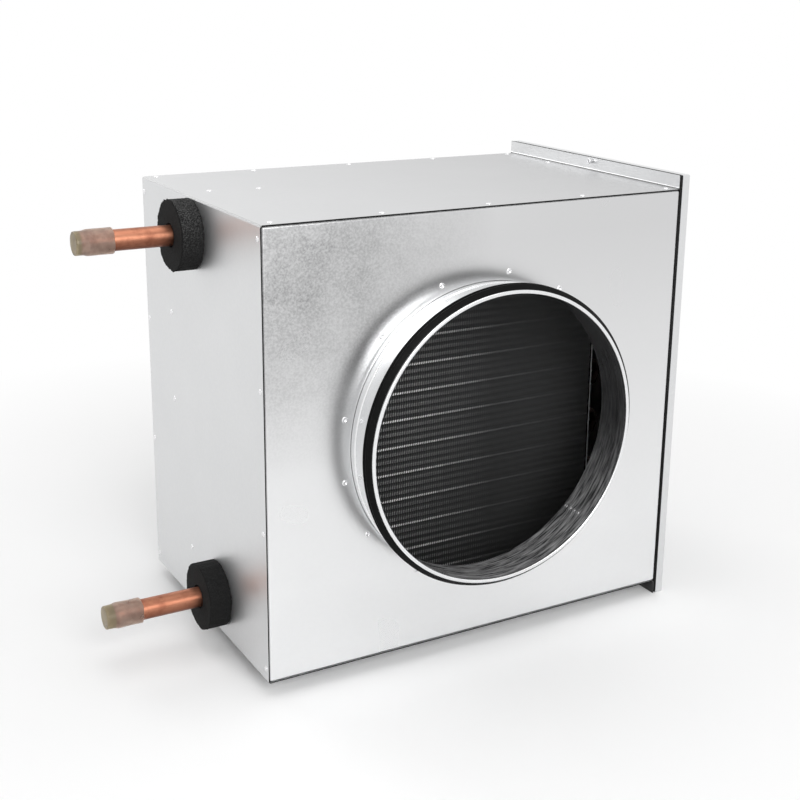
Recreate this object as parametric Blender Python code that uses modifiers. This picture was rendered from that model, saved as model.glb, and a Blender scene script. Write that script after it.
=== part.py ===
"""Duct water heater: a folded sheet-steel casing with a round spigot on each
face, a finned coil of copper tubes across it, two pipe ends through one side
and a screwed inspection cover on the other.  Metres, +Z up, origin under the
middle of the overall box."""

import math

import bmesh
import bpy
import numpy as np
from mathutils import Matrix, Vector

# Clearances
GAP = 0.0003                 # between pieces that touch
PIPE_CLEARANCE = 0.0040      # pipe in its hole through the side wall
SCREW_CLEARANCE = 0.0003     # screw shank in its holes

# How finely round shapes are cut, and how far a cutting shape reaches
SPIGOT_STEPS = 36
HOLE_SIDES = 24
CAP_SIDES = 20
SCREW_SIDES = 12
HEADER_SIDES = 16
TUBE_SIDES_LEVEL = 1
BEND_SEGMENTS = 4
CUT_LENGTH = 0.020
SCREW_CUT_LENGTH = 0.080

# Casing
CASING_WIDTH = 0.500         # along X, from the pipe wall to the cover end
CASING_DEPTH = 0.332         # along Y, the way the air goes
CASING_HEIGHT = 0.470
SHEET = 0.001
WRAP_FOLD_RADIUS = 0.002
FLANGE_SETBACK = 0.0018       # the cover flange stands this far inside the width
FLANGE_HEIGHT = 0.0155
PANEL_RETURN = 0.022
PANEL_FOLD_RADIUS = 0.0025

# Spigots
SPIGOT_RADIUS = 0.157
SPIGOT_LENGTH = 0.047
SPIGOT_SHEET = 0.0008
HEM_WIDTH = 0.0040           # how far the rim turns in from the outside
HEM_DEPTH = 0.0020
GROOVE_LENGTH = 0.0145       # behind the rim, where the gasket lies
GROOVE_RAMP = 0.0025
BEAD_OFFSET = 0.0065         # from the panel's face
BEAD_WIDTH = 0.0042
BEAD_HEIGHT = 0.0013
BEAD_SLOPE = 0.0008
COLLAR_WIDTH = 0.0160        # of the flange that clinches behind the panel

# Lip gaskets
GASKET_FOOT = 0.0100
LIP_REACH = 0.0050           # past the outside of the spigot
LIP_THICKNESS = 0.0011
LIP_LEAN = 0.0042
LIP_SPACING = 0.0052

# Inspection cover
COVER_STANDOFF = 0.0025      # cover edge to flange face
COVER_DEPTH = 0.0103
COVER_OVERHANG = 0.0010
COVER_FOLD_RADIUS = 0.0015
SEAL_WIDTH = 0.0140
SCREW_RADIUS = 0.0018
SCREW_RISE = 0.0113          # screw axis above the casing's top
SCREW_Y = -0.0075
SCREW_HEAD_RADIUS = 0.0034
SCREW_HEAD_HEIGHT = 0.0030
SCREW_HEAD_ROUND = 0.0014
SCREW_TAIL = 0.0040          # shank past the flange, short of the insert's mouth
INSERT_RADIUS = 0.0030       # threaded insert on the inner side of the flange
INSERT_LENGTH = 0.0055

# Finned coil
TUBE_PITCH = 0.03175         # up the coil
ROW_PITCH = 0.0275           # along the air
TUBE_ROWS = 3
COIL_MARGIN = 0.011          # least room above and below the fins
TUBE_RADIUS = 0.00476
FIN_FACE_DEPTH = 0.119       # front of the fins behind the casing's front
FIN_THICKNESS = 0.0006
FIN_SPACING = 0.0090
FIN_RAIL = 0.0008
FIN_MARGIN = 0.0025          # between the outermost fin and the end plate
HEADER_ROOM = 0.067          # left end plate to the outside of the pipe wall
BEND_ROOM = 0.0205           # right end plate to the cover end
END_PLATE = 0.0015
CHANNEL_SHEET = 0.0015
BEND_LEAD = 0.0020           # straight tube before a return bend
RAIL_WIDTH = 0.015
RAIL_SHEET = 0.0015

# Headers and pipes
HEADER_RADIUS = 0.014
HEADER_WALL_GAP = 0.010      # header to the inside of the pipe wall
HEADER_TAIL = 0.010          # header past its last tube
FEEDER_LEAD = 0.008
PIPE_RADIUS = 0.011
PIPE_WALL = 0.001
PIPE_REACH = 0.118           # past the pipe wall
SUPPLY_SETBACK = 0.061       # behind the front of the fins
SUPPLY_DROP = 0.0385         # below the casing's top
RETURN_SETBACK = 0.012
RETURN_RISE = 0.0455         # above the casing's bottom

# Foam rings and transport caps
FOAM_RADIUS = 0.037
FOAM_THICKNESS = 0.024
FOAM_CHAMFER = 0.0012
FOAM_CLEARANCE = 0.0020
CAP_LENGTH = 0.0395
CAP_WALL = 0.0022
CAP_TAPER = 0.0010
CAP_END_WALL = 0.0025
CAP_ROUNDING = 0.0025
CAP_NECK = 0.0145            # the narrower length at the closed end
UPPER_CAP_ROOM = 0.003       # from the pipe's end to the cap's bottom
LOWER_CAP_ROOM = 0.007

# Places that follow from the sizes
HALF_WIDTH = CASING_WIDTH / 2
HALF_DEPTH = CASING_DEPTH / 2
HALF_HEIGHT = CASING_HEIGHT / 2
FLANGE_X = HALF_WIDTH - FLANGE_SETBACK
FLANGE_TOP = HALF_HEIGHT + FLANGE_HEIGHT
PIPE_WALL_INSIDE = -HALF_WIDTH + SHEET
COVER_EDGE_X = FLANGE_X + COVER_STANDOFF
COVER_X = COVER_EDGE_X + COVER_DEPTH
COVER_HALF_DEPTH = HALF_DEPTH + COVER_OVERHANG
SCREW_Z = HALF_HEIGHT + SCREW_RISE
FIN_FRONT = -HALF_DEPTH + FIN_FACE_DEPTH
FIN_BACK = FIN_FRONT + TUBE_ROWS * ROW_PITCH
BEND_PAIRS = int((HALF_HEIGHT - COIL_MARGIN) / TUBE_PITCH)
TUBES_PER_ROW = 2 * BEND_PAIRS
FIN_HALF_HEIGHT = TUBES_PER_ROW * TUBE_PITCH / 2
COIL_LEFT = HALF_WIDTH - HEADER_ROOM
COIL_RIGHT = HALF_WIDTH - BEND_ROOM
SUPPLY_Y = FIN_FRONT + SUPPLY_SETBACK
SUPPLY_Z = HALF_HEIGHT - SUPPLY_DROP
RETURN_Y = FIN_FRONT + RETURN_SETBACK
RETURN_Z = -HALF_HEIGHT + RETURN_RISE
HEADER_X = PIPE_WALL_INSIDE + HEADER_WALL_GAP + HEADER_RADIUS
PIPE_END_X = -HALF_WIDTH - PIPE_REACH
CAP_BORE = PIPE_RADIUS + GAP
OVERALL_LEFT = PIPE_END_X - LOWER_CAP_ROOM - CAP_END_WALL
OVERALL_RIGHT = COVER_X + GAP + SCREW_HEAD_HEIGHT
FRAME_X = -(OVERALL_LEFT + OVERALL_RIGHT) / 2
FRAME_Z = FLANGE_TOP


def clear_scene():
    for item in list(bpy.data.objects):
        bpy.data.objects.remove(item, do_unlink=True)


def new_collection(name):
    collection = bpy.data.collections.new(name)
    bpy.context.scene.collection.children.link(collection)
    return collection


clear_scene()
PARTS = new_collection("duct_water_heater")
CUTTERS = new_collection("cutters")
FRAME = bpy.data.objects.new("heater_frame", None)
FRAME.location = (FRAME_X, 0.0, FRAME_Z)
PARTS.objects.link(FRAME)


def material(name, colour, roughness, metallic=0.0):
    result = bpy.data.materials.new(name)
    result.use_nodes = True
    shader = result.node_tree.nodes["Principled BSDF"]
    shader.inputs["Base Color"].default_value = (*colour, 1.0)
    shader.inputs["Roughness"].default_value = roughness
    shader.inputs["Metallic"].default_value = metallic
    return result


def finish(name, mesh, colour, location=(0.0, 0.0, 0.0), rotation=(0.0, 0.0, 0.0), smooth=True):
    """Put a mesh in the parts collection as a named piece with its own material."""
    item = bpy.data.objects.new(name, mesh)
    item.parent = FRAME
    item.location = location
    item.rotation_euler = rotation
    mesh.materials.append(material(name + "_finish", *colour))
    if smooth:
        mesh.shade_smooth()
        mesh.set_sharp_from_angle(angle=math.radians(35))
    PARTS.objects.link(item)
    return item


def cutter(name, mesh, location=(0.0, 0.0, 0.0), rotation=(0.0, 0.0, 0.0)):
    item = bpy.data.objects.new(name, mesh)
    item.parent = FRAME
    item.location = location
    item.rotation_euler = rotation
    item.hide_render = True
    item.display_type = "WIRE"
    CUTTERS.objects.link(item)
    return item


def boolean(item, tool, operation="DIFFERENCE"):
    step = item.modifiers.new(tool.name, "BOOLEAN")
    step.operation = operation
    step.object = tool


def box_mesh(name, low, high):
    """A box between two corners, from a unit cube."""
    low = Vector(low)
    high = Vector(high)
    shape = bmesh.new()
    bmesh.ops.create_cube(shape, size=1.0)
    bmesh.ops.scale(shape, vec=high - low, verts=shape.verts)
    bmesh.ops.translate(shape, vec=(low + high) / 2, verts=shape.verts)
    mesh = bpy.data.meshes.new(name)
    shape.to_mesh(mesh)
    shape.free()
    return mesh


def disc_mesh(name, radius, length, sides):
    """A cylinder about Z, centred on its length."""
    shape = bmesh.new()
    bmesh.ops.create_cone(shape, cap_ends=True, segments=sides,
                          radius1=radius, radius2=radius, depth=length)
    mesh = bpy.data.meshes.new(name)
    shape.to_mesh(mesh)
    shape.free()
    return mesh


def open_box(name, low, high, open_sides):
    """A box without the faces whose outward directions are listed, as one open surface."""
    mesh = box_mesh(name, low, high)
    shape = bmesh.new()
    shape.from_mesh(mesh)
    shape.normal_update()
    gone = [face for face in shape.faces
            if any(face.normal.dot(Vector(side)) > 0.9 for side in open_sides)]
    bmesh.ops.delete(shape, geom=gone, context="FACES")
    shape.to_mesh(mesh)
    shape.free()
    return mesh


def fold_and_thicken(item, radius, thickness):
    """Round the folds of an open surface, then give it its sheet thickness inwards."""
    fold = item.modifiers.new("folds", "BEVEL")
    fold.width = radius
    fold.segments = 2
    fold.limit_method = "ANGLE"
    fold.angle_limit = math.radians(40)
    sheet = item.modifiers.new("sheet", "SOLIDIFY")
    sheet.thickness = thickness
    sheet.offset = -1.0
    sheet.use_even_offset = True


def turned(name, points, closed, colour, location, rotation, steps=SPIGOT_STEPS):
    """Turn a profile of (radius, height) points about Z."""
    mesh = bpy.data.meshes.new(name)
    count = len(points)
    edges = [(i, i + 1) for i in range(count - 1)]
    if closed:
        edges.append((count - 1, 0))
    mesh.from_pydata([(radius, 0.0, height) for radius, height in points], edges, [])
    item = finish(name, mesh, colour, location, rotation, smooth=False)
    turn = item.modifiers.new("turn", "SCREW")
    turn.axis = "Z"
    turn.angle = math.tau
    turn.steps = steps
    turn.render_steps = steps
    turn.use_merge_vertices = True
    turn.merge_threshold = 0.00001
    turn.use_smooth_shade = True
    return item


def sheet_outline(path, thickness):
    """The closed outline of a sheet bent along a centre line, ordered for turning."""
    points = np.array(path)
    steps = np.diff(points, axis=0)
    steps /= np.linalg.norm(steps, axis=1)[:, None]
    sides = np.stack([-steps[:, 1], steps[:, 0]], axis=1)
    before = np.vstack([sides[:1], sides])
    after = np.vstack([sides, sides[-1:]])
    mitre = before + after
    mitre *= (thickness / (mitre * before).sum(axis=1) / 2)[:, None]
    loop = [tuple(p) for p in points + mitre] + [tuple(p) for p in (points - mitre)[::-1]]
    return loop


def tube_mesh(name, points, radius):
    """A round tube with filled ends along straight stretches between points."""
    curve = bpy.data.curves.new(name, "CURVE")
    curve.dimensions = "3D"
    curve.bevel_depth = radius
    curve.bevel_resolution = TUBE_SIDES_LEVEL
    curve.use_fill_caps = True
    line = curve.splines.new("POLY")
    line.points.add(len(points) - 1)
    for spot, point in zip(line.points, points):
        spot.co = (*point, 1.0)
    item = bpy.data.objects.new(name, curve)
    bpy.context.scene.collection.objects.link(item)
    bpy.context.view_layer.update()
    graph = bpy.context.evaluated_depsgraph_get()
    mesh = bpy.data.meshes.new_from_object(item.evaluated_get(graph))
    bpy.data.objects.remove(item, do_unlink=True)
    bpy.data.curves.remove(curve)
    shape = bmesh.new()
    shape.from_mesh(mesh)
    bmesh.ops.remove_doubles(shape, verts=shape.verts, dist=0.00001)
    bmesh.ops.recalc_face_normals(shape, faces=shape.faces)
    shape.to_mesh(mesh)
    shape.free()
    return mesh


def joined(name, meshes):
    """Several separate closed shapes as one mesh, to be united with what carries them."""
    shape = bmesh.new()
    for mesh in meshes:
        shape.from_mesh(mesh)
        bpy.data.meshes.remove(mesh)
    result = bpy.data.meshes.new(name)
    shape.to_mesh(result)
    shape.free()
    return result


# Colours: base colour, roughness, metallic
GALVANISED = ((0.62, 0.64, 0.65), 0.35, 1.0)
COPPER = ((0.72, 0.35, 0.22), 0.30, 1.0)
ALUMINIUM = ((0.70, 0.71, 0.72), 0.35, 1.0)
ZINC_PLATED = ((0.75, 0.76, 0.77), 0.25, 1.0)
BLACK_RUBBER = ((0.02, 0.02, 0.02), 0.55, 0.0)
BLACK_FOAM = ((0.025, 0.025, 0.025), 0.90, 0.0)
CLOUDY_PLASTIC = ((0.55, 0.48, 0.38), 0.35, 0.0)


def across_x(radius, length, name, x, y, z, sides):
    """A cutting cylinder along X."""
    return cutter(name, disc_mesh(name, radius, length, sides), (x, y, z), (0.0, math.pi / 2, 0.0))


def build_wrap():
    """Top, pipe wall and bottom in one folded sheet, with a flange for the cover at each end."""
    mesh = open_box("casing_wrap", (-HALF_WIDTH, -HALF_DEPTH, -HALF_HEIGHT),
                    (FLANGE_X - SHEET, HALF_DEPTH, HALF_HEIGHT), [(1, 0, 0), (0, 1, 0), (0, -1, 0)])
    shape = bmesh.new()
    shape.from_mesh(mesh)
    for way in (1, -1):
        ends = [edge for edge in shape.edges
                if all(v.co.x > 0 and v.co.z * way > 0 for v in edge.verts)]
        grown = bmesh.ops.extrude_edge_only(shape, edges=ends)["geom"]
        lip = [part for part in grown if isinstance(part, bmesh.types.BMVert)]
        bmesh.ops.translate(shape, vec=(0.0, 0.0, way * FLANGE_HEIGHT), verts=lip)
    shape.to_mesh(mesh)
    shape.free()
    wrap = finish("casing_wrap", mesh, GALVANISED)
    fold_and_thicken(wrap, WRAP_FOLD_RADIUS, SHEET)
    for name, y, z in (("supply", SUPPLY_Y, SUPPLY_Z), ("return", RETURN_Y, RETURN_Z)):
        hole = across_x(PIPE_RADIUS + PIPE_CLEARANCE, CUT_LENGTH, name + "_hole",
                        -HALF_WIDTH, y, z, HOLE_SIDES)
        boolean(wrap, hole)
    for name, way in (("top", 1), ("bottom", -1)):
        hole = across_x(SCREW_RADIUS + SCREW_CLEARANCE, SCREW_CUT_LENGTH, name + "_screw_hole",
                        FLANGE_X, SCREW_Y, way * SCREW_Z, SCREW_SIDES)
        boolean(wrap, hole)


def build_panel(name, way):
    """A pan set inside the wrap, with a round hole for its spigot."""
    inside = SHEET + GAP
    face = way * HALF_DEPTH
    back = face - way * PANEL_RETURN
    mesh = open_box(name, (-HALF_WIDTH + inside, min(face, back), -HALF_HEIGHT + inside),
                    (FLANGE_X, max(face, back), HALF_HEIGHT - inside), [(0, -way, 0)])
    panel = finish(name, mesh, GALVANISED)
    fold_and_thicken(panel, PANEL_FOLD_RADIUS, SHEET)
    hole = cutter(name + "_hole",
                  disc_mesh(name + "_hole", SPIGOT_RADIUS + GAP, CUT_LENGTH, SPIGOT_STEPS),
                  (0.0, face, 0.0), (math.pi / 2, 0.0, 0.0))
    boolean(panel, hole)


def spigot_path():
    """The spigot's sheet from the rim's folded lip back to the collar behind the panel."""
    half = SPIGOT_SHEET / 2
    outer = SPIGOT_RADIUS - half
    inner = SPIGOT_RADIUS - HEM_WIDTH + half
    front = SPIGOT_LENGTH - half
    groove_end = front - GROOVE_LENGTH
    behind = -SHEET - GAP - half
    return [(outer, front - HEM_DEPTH), (outer, front), (inner, front), (inner, groove_end),
            (outer, groove_end - GROOVE_RAMP), (outer, behind), (SPIGOT_RADIUS + COLLAR_WIDTH, behind)]


def spigot_outline():
    """The spigot's sheet, with the stop bead raised on its outside."""
    outline = sheet_outline(spigot_path(), SPIGOT_SHEET)
    top = BEAD_OFFSET + BEAD_WIDTH
    crest = SPIGOT_RADIUS + BEAD_HEIGHT
    bead = [(SPIGOT_RADIUS, top), (crest, top - BEAD_SLOPE), (crest, BEAD_OFFSET + BEAD_SLOPE),
            (SPIGOT_RADIUS, BEAD_OFFSET)]
    collar = next(i for i, (radius, height) in enumerate(outline)
                  if height < BEAD_OFFSET and abs(radius - SPIGOT_RADIUS) < GAP / 2)
    return outline[:collar] + bead + outline[collar:]


def gasket_outline():
    """A flat foot clamped under the rim's folded lip, with two lips that lean back."""
    foot = SPIGOT_RADIUS - HEM_WIDTH + SPIGOT_SHEET + GAP
    base = SPIGOT_RADIUS - SPIGOT_SHEET - GAP
    tip = SPIGOT_RADIUS + LIP_REACH
    front = SPIGOT_LENGTH - SPIGOT_SHEET - GAP
    back = front - GASKET_FOOT
    first_root = SPIGOT_LENGTH - SPIGOT_SHEET / 2 - HEM_DEPTH - GAP
    outline = [(foot, back), (foot, front), (base, front)]
    for root in (first_root, first_root - LIP_SPACING):
        outline += [(base, root), (tip, root - LIP_LEAN), (tip, root - LIP_LEAN - LIP_THICKNESS),
                    (base, root - 2 * LIP_THICKNESS)]
    outline.append((base, back))
    return outline


def build_spigot(side, way):
    turn_up = (-way * math.pi / 2, 0.0, 0.0)
    place = (0.0, way * HALF_DEPTH, 0.0)
    turned(side + "_spigot", spigot_outline(), True, GALVANISED, place, turn_up)
    turned(side + "_gasket", gasket_outline(), True, BLACK_RUBBER, place, turn_up)


def build_cover():
    """The inspection cover, its seal and the two screws that hold it to the flanges."""
    mesh = open_box("inspection_cover", (COVER_EDGE_X, -COVER_HALF_DEPTH, -FLANGE_TOP),
                    (COVER_X, COVER_HALF_DEPTH, FLANGE_TOP), [(-1, 0, 0)])
    cover = finish("inspection_cover", mesh, GALVANISED)
    fold_and_thicken(cover, COVER_FOLD_RADIUS, SHEET)
    inside = SHEET + GAP
    low_x = FLANGE_X + GAP
    high_x = COVER_X - inside
    half_y = COVER_HALF_DEPTH - inside
    half_z = FLANGE_TOP - inside
    seal = finish("cover_seal", box_mesh("cover_seal", (low_x, -half_y, -half_z), (high_x, half_y, half_z)),
                  BLACK_FOAM)
    opening = cutter("seal_opening",
                     box_mesh("seal_opening", (low_x - SHEET, -half_y + SEAL_WIDTH, -half_z + SEAL_WIDTH),
                              (high_x + SHEET, half_y - SEAL_WIDTH, half_z - SEAL_WIDTH)))
    boolean(seal, opening)
    for name, way in (("top", 1), ("bottom", -1)):
        hole = bpy.data.objects[name + "_screw_hole"]
        boolean(cover, hole)
        boolean(seal, hole)
        build_screw(name, way * SCREW_Z)


def build_screw(name, z):
    """A pan-head screw from outside the cover and the threaded insert on the flange."""
    head = COVER_X + GAP
    tail = FLANGE_X - SHEET - SCREW_TAIL
    crown = SCREW_HEAD_RADIUS - SCREW_HEAD_ROUND
    shoulder = head + SCREW_HEAD_HEIGHT - SCREW_HEAD_ROUND
    profile = [(0.0, head + SCREW_HEAD_HEIGHT), (crown, head + SCREW_HEAD_HEIGHT),
               (SCREW_HEAD_RADIUS, shoulder), (SCREW_HEAD_RADIUS, head),
               (SCREW_RADIUS, head), (SCREW_RADIUS, tail), (0.0, tail)]
    turned("cover_screw_" + name, profile, False, ZINC_PLATED,
           (0.0, SCREW_Y, z), (0.0, math.pi / 2, 0.0), steps=SCREW_SIDES)
    face = FLANGE_X - SHEET - GAP
    mouth = face - INSERT_LENGTH
    bore = SCREW_RADIUS + SCREW_CLEARANCE
    ring = [(INSERT_RADIUS, face), (INSERT_RADIUS, mouth), (bore, mouth), (bore, face)]
    turned("cover_nut_" + name, ring, True, ZINC_PLATED, (0.0, SCREW_Y, z), (0.0, math.pi / 2, 0.0),
           steps=SCREW_SIDES)


def tube_place(row, index):
    """Where a tube crosses the coil: rows are staggered by half a tube pitch."""
    stagger = -TUBE_PITCH / 4 if row % 2 == 0 else TUBE_PITCH / 4
    y = FIN_FRONT + (row + 0.5) * ROW_PITCH
    z = (index - (TUBES_PER_ROW - 1) / 2) * TUBE_PITCH + stagger
    return y, z


def return_bend(name, plate_x, way, start, end):
    """A half-circle bend that joins two tubes outside an end plate."""
    start = Vector((0.0, *start))
    end = Vector((0.0, *end))
    middle = (start + end) / 2
    half = (end - start) / 2
    reach = half.length
    root = plate_x - way * END_PLATE / 2
    lead = plate_x + way * BEND_LEAD
    points = [(root, start.y, start.z)]
    for i in range(BEND_SEGMENTS + 1):
        turn = math.pi * i / BEND_SEGMENTS
        spot = middle - half * math.cos(turn)
        points.append((lead + way * reach * math.sin(turn), spot.y, spot.z))
    points.append((root, end.y, end.z))
    return tube_mesh(name, points, TUBE_RADIUS)


def end_plate(name, inner_x, way):
    """A flat end plate across the tubes, with its outer face the given way along X."""
    outer_x = inner_x + way * END_PLATE
    mesh = box_mesh(name, (min(inner_x, outer_x), FIN_FRONT, -FIN_HALF_HEIGHT),
                    (max(inner_x, outer_x), FIN_BACK, FIN_HALF_HEIGHT))
    return finish(name, mesh, GALVANISED), outer_x


def build_coil():
    """Fins between two rails, the tubes with their bends, and the frame round them."""
    pairs = range(0, TUBES_PER_ROW, 2)
    left, left_x = end_plate("coil_end_plate_left", -COIL_LEFT, -1)
    right, right_x = end_plate("coil_end_plate_right", COIL_RIGHT, 1)
    copper = []
    for row in range(TUBE_ROWS):
        for index in range(TUBES_PER_ROW):
            y, z = tube_place(row, index)
            ends = [(-COIL_LEFT - END_PLATE / 2, y, z), (COIL_RIGHT - GAP, y, z)]
            copper.append(tube_mesh("tube", ends, TUBE_RADIUS))
    for low in pairs:
        for row in range(TUBE_ROWS - 1):
            index = low + (TUBE_ROWS - row) % 2
            ends = (tube_place(row, index), tube_place(row + 1, index))
            copper.append(return_bend("bend", left_x, -1, *ends))
    boolean(left, cutter("left_tubes", joined("left_tubes", copper)), "UNION")
    hairpins = [return_bend("bend", right_x, 1, tube_place(row, low), tube_place(row, low + 1))
                for low in pairs for row in range(TUBE_ROWS)]
    boolean(right, cutter("right_bends", joined("right_bends", hairpins)), "UNION")
    build_fins()
    build_channels()


def build_fins():
    """Upright fins, front and back of the tube bank, held by a rail above and below."""
    low_x = -COIL_LEFT + GAP
    high_x = COIL_RIGHT - GAP
    half_z = FIN_HALF_HEIGHT
    pack = finish("fin_pack", box_mesh("fin_pack", (low_x, FIN_FRONT, -half_z), (high_x, FIN_BACK, half_z)),
                  ALUMINIUM)
    inner_z = half_z - FIN_RAIL
    tubes_front = tube_place(0, 0)[0] - TUBE_RADIUS - GAP
    tubes_back = tube_place(TUBE_ROWS - 1, 0)[0] + TUBE_RADIUS + GAP
    first = low_x + FIN_MARGIN
    count = int((high_x - FIN_MARGIN - first) / FIN_SPACING)
    boolean(pack, cutter("tube_room", box_mesh("tube_room", (low_x - FIN_MARGIN, tubes_front, -inner_z),
                                               (high_x + FIN_MARGIN, tubes_back, inner_z))))
    gaps = []
    for i in range(count):
        start = first + i * FIN_SPACING + FIN_THICKNESS
        gaps.append(box_mesh("fin_gap", (start, FIN_FRONT - SHEET, -inner_z),
                             (start + FIN_SPACING - FIN_THICKNESS, FIN_BACK + SHEET, inner_z)))
    last = first + count * FIN_SPACING + FIN_THICKNESS
    for low, high in ((low_x - SHEET, first), (last, high_x + SHEET)):
        gaps.append(box_mesh("fin_gap", (low, FIN_FRONT - SHEET, -inner_z),
                             (high, FIN_BACK + SHEET, inner_z)))
    boolean(pack, cutter("fin_gaps", joined("fin_gaps", gaps)))


def build_channels():
    """The frame's top and bottom channels, whose legs reach the casing, and the stop rails behind."""
    for name, way in (("top", 1), ("bottom", -1)):
        web = way * (FIN_HALF_HEIGHT + GAP)
        wall = way * (HALF_HEIGHT - SHEET - GAP)
        mesh = box_mesh("coil_channel_" + name,
                        (-COIL_LEFT - END_PLATE, FIN_FRONT, min(web, wall)),
                        (COIL_RIGHT + END_PLATE, FIN_BACK, max(web, wall)))
        channel = finish("coil_channel_" + name, mesh, GALVANISED)
        floor = web + way * CHANNEL_SHEET
        beyond = wall + way * SHEET
        room = box_mesh(name + "_channel_room",
                        (-COIL_LEFT - 2 * END_PLATE, FIN_FRONT + CHANNEL_SHEET, min(floor, beyond)),
                        (COIL_RIGHT + 2 * END_PLATE, FIN_BACK - CHANNEL_SHEET, max(floor, beyond)))
        boolean(channel, cutter(name + "_channel_room", room))
        build_rail(name, way, wall)


def build_rail(name, way, wall):
    """An angle riveted to the casing that stops the coil from moving along the air."""
    face = FIN_BACK + GAP
    foot = wall - way * RAIL_WIDTH
    mesh = box_mesh("coil_rail_" + name, (-COIL_LEFT, face, min(wall, foot)),
                    (COIL_RIGHT, face + RAIL_WIDTH, max(wall, foot)))
    rail = finish("coil_rail_" + name, mesh, GALVANISED)
    low = wall - way * RAIL_SHEET
    beyond = foot - way * SHEET
    room = box_mesh(name + "_rail_room", (-COIL_LEFT - SHEET, face + RAIL_SHEET, min(low, beyond)),
                    (COIL_RIGHT + SHEET, face + RAIL_WIDTH + SHEET, max(low, beyond)))
    boolean(rail, cutter(name + "_rail_room", room))


def build_header(name, row, odd, pipe_y, pipe_z):
    """A closed upright header with a feeder to each circuit and the pipe out through the wall."""
    feeds = [tube_place(row, index) for index in range(odd, TUBES_PER_ROW, 2)]
    low = min([z for _, z in feeds] + [pipe_z - PIPE_RADIUS]) - HEADER_TAIL
    high = max([z for _, z in feeds] + [pipe_z + PIPE_RADIUS]) + HEADER_TAIL
    limit = HALF_HEIGHT - SHEET - GAP
    low = max(low, -limit)
    high = min(high, limit)
    header = finish(name, disc_mesh(name, HEADER_RADIUS, high - low, HEADER_SIDES), COPPER,
                    (HEADER_X, pipe_y, (low + high) / 2))
    pipe_length = HEADER_X - PIPE_END_X
    pipe = disc_mesh("pipe", PIPE_RADIUS, pipe_length, HEADER_SIDES)
    pipe.transform(Matrix.Rotation(math.pi / 2, 4, "Y"))
    pipe.transform(Matrix.Translation((HEADER_X - pipe_length / 2, pipe_y, pipe_z)))
    copper = [pipe]
    start = -COIL_LEFT - END_PLATE - GAP
    for y, z in feeds:
        copper.append(tube_mesh("feeder", [(start, y, z), (start - FEEDER_LEAD, y, z),
                                           (HEADER_X + HEADER_RADIUS, pipe_y, z), (HEADER_X, pipe_y, z)],
                                TUBE_RADIUS))
    for i, mesh in enumerate(copper):
        boolean(header, cutter(f"{name}_tube_{i}", mesh), "UNION")
    bore_radius = PIPE_RADIUS - PIPE_WALL
    bore_end = HEADER_X - bore_radius
    bore = across_x(bore_radius, 2 * (bore_end - PIPE_END_X), name + "_bore", PIPE_END_X, pipe_y, pipe_z,
                    HEADER_SIDES)
    boolean(header, bore)


def build_outside(name, pipe_y, pipe_z, cap_room):
    """The foam ring against the pipe wall and the cap pushed over the pipe's end."""
    face_out = (0.0, -math.pi / 2, 0.0)
    inner = PIPE_RADIUS + FOAM_CLEARANCE
    ring = [(FOAM_RADIUS - FOAM_CHAMFER, FOAM_THICKNESS), (FOAM_RADIUS, FOAM_THICKNESS - FOAM_CHAMFER),
            (FOAM_RADIUS, 0.0), (inner, 0.0), (inner, FOAM_THICKNESS)]
    turned("foam_ring_" + name, ring, True, BLACK_FOAM, (-HALF_WIDTH - GAP, pipe_y, pipe_z), face_out,
           steps=HOLE_SIDES)
    mouth = CAP_BORE + CAP_WALL
    tip = mouth - CAP_TAPER
    waist = CAP_LENGTH - CAP_NECK
    cup = [(0.0, CAP_LENGTH), (tip - CAP_ROUNDING, CAP_LENGTH), (tip, CAP_LENGTH - CAP_ROUNDING),
           (tip, waist), (mouth, waist - CAP_TAPER), (mouth, 0.0), (CAP_BORE, 0.0),
           (CAP_BORE, CAP_LENGTH - CAP_END_WALL), (0.0, CAP_LENGTH - CAP_END_WALL)]
    mouth_x = PIPE_END_X - cap_room - CAP_END_WALL + CAP_LENGTH
    turned("transport_cap_" + name, cup, False, CLOUDY_PLASTIC, (mouth_x, pipe_y, pipe_z), face_out,
           steps=CAP_SIDES)


build_wrap()
build_cover()
for side, way in (("front", -1), ("rear", 1)):
    build_panel(side + "_panel", way)
    build_spigot(side, way)
build_coil()
build_header("supply_header", TUBE_ROWS - 1, 1, SUPPLY_Y, SUPPLY_Z)
build_header("return_header", 0, 0, RETURN_Y, RETURN_Z)
build_outside("upper", SUPPLY_Y, SUPPLY_Z, UPPER_CAP_ROOM)
build_outside("lower", RETURN_Y, RETURN_Z, LOWER_CAP_ROOM)
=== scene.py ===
"""The look of the duct water heater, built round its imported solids.  Lengths are
in millimetres from the middle of the casing, with X along the pipes, -Y towards
the front spigot and +Z up; make_piece turns them into metres in the frame."""

import math

import bmesh
import bpy
import numpy as np
from mathutils import Matrix, Vector, noise


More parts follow.
